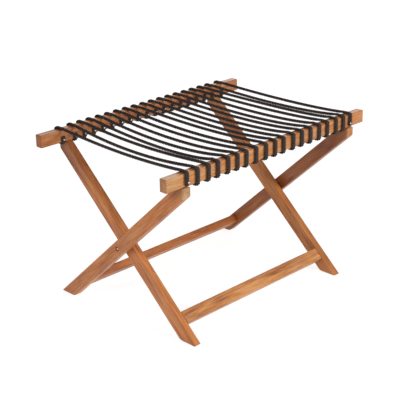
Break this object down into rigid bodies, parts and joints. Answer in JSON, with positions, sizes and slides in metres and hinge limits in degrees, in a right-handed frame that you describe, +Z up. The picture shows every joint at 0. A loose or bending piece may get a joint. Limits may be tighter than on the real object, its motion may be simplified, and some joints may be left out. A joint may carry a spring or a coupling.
{
  "type": "folding luggage rack",
  "caption": "Folding X-frame luggage rack of oiled hardwood with a seat of dark twisted rope strands tacked around its two top rails",
  "frame": {"origin": "on the floor, under the middle of the open rack", "axes": "+X along the rails, +Y from the front rail to the back rail, +Z up"},
  "size_m": [0.704, 0.4866, 0.4524],
  "materials": {
    "frame_wood": "oiled, satin",
    "dowel_wood": "raw",
    "rope": "twisted cord, matt",
    "bolt_metal": "coppered, satin",
    "insert_brass": "plain",
    "spacer_nylon": "matt",
    "tack_steel": "bright"
  },
  "bodies": {
    "outer_frame": {"front_rail": "frame_wood", "back_stretcher": "frame_wood", "outer_leg_left": "frame_wood", "outer_leg_right": "frame_wood", "front_rail_dowel_left": "dowel_wood", "front_rail_dowel_right": "dowel_wood", "strand_01": "rope", "strand_02": "rope", "strand_03": "rope", "strand_04": "rope", "strand_05": "rope", "strand_06": "rope", "strand_07": "rope", "strand_08": "rope", "strand_09": "rope", "strand_10": "rope", "strand_11": "rope", "strand_12": "rope", "strand_13": "rope", "strand_14": "rope", "strand_15": "rope", "strand_16": "rope", "strand_17": "rope", "strand_18": "rope", "strand_19": "rope", "front_tack_01": "tack_steel", "front_tack_19": "tack_steel"},
    "inner_frame": {"back_rail": "frame_wood", "front_stretcher": "frame_wood", "inner_leg_left": "frame_wood", "inner_leg_right": "frame_wood", "back_rail_dowel_left": "dowel_wood", "back_rail_dowel_right": "dowel_wood", "pivot_bolt_left": "bolt_metal", "pivot_bolt_right": "bolt_metal", "spacer_left": "spacer_nylon", "spacer_right": "spacer_nylon", "insert_left": "insert_brass", "insert_right": "insert_brass", "tack_01": "tack_steel", "tack_02": "tack_steel", "tack_03": "tack_steel", "tack_04": "tack_steel", "tack_05": "tack_steel", "tack_06": "tack_steel", "tack_07": "tack_steel", "tack_08": "tack_steel", "tack_09": "tack_steel", "tack_10": "tack_steel", "tack_11": "tack_steel", "tack_12": "tack_steel", "tack_13": "tack_steel", "tack_14": "tack_steel", "tack_15": "tack_steel", "tack_16": "tack_steel", "tack_17": "tack_steel", "tack_18": "tack_steel", "tack_19": "tack_steel"}
  },
  "joints": [
    {"name": "fold", "type": "hinge", "parent": "outer_frame", "child": "inner_frame", "pos_m": [0, 0, 0.19234], "axis": [1, 0, 0], "range_deg": [0, 76], "deforming": ["strand_01", "strand_02", "strand_03", "strand_04", "strand_05", "strand_06", "strand_07", "strand_08", "strand_09", "strand_10", "strand_11", "strand_12", "strand_13", "strand_14", "strand_15", "strand_16", "strand_17", "strand_18", "strand_19"]}
  ]
}
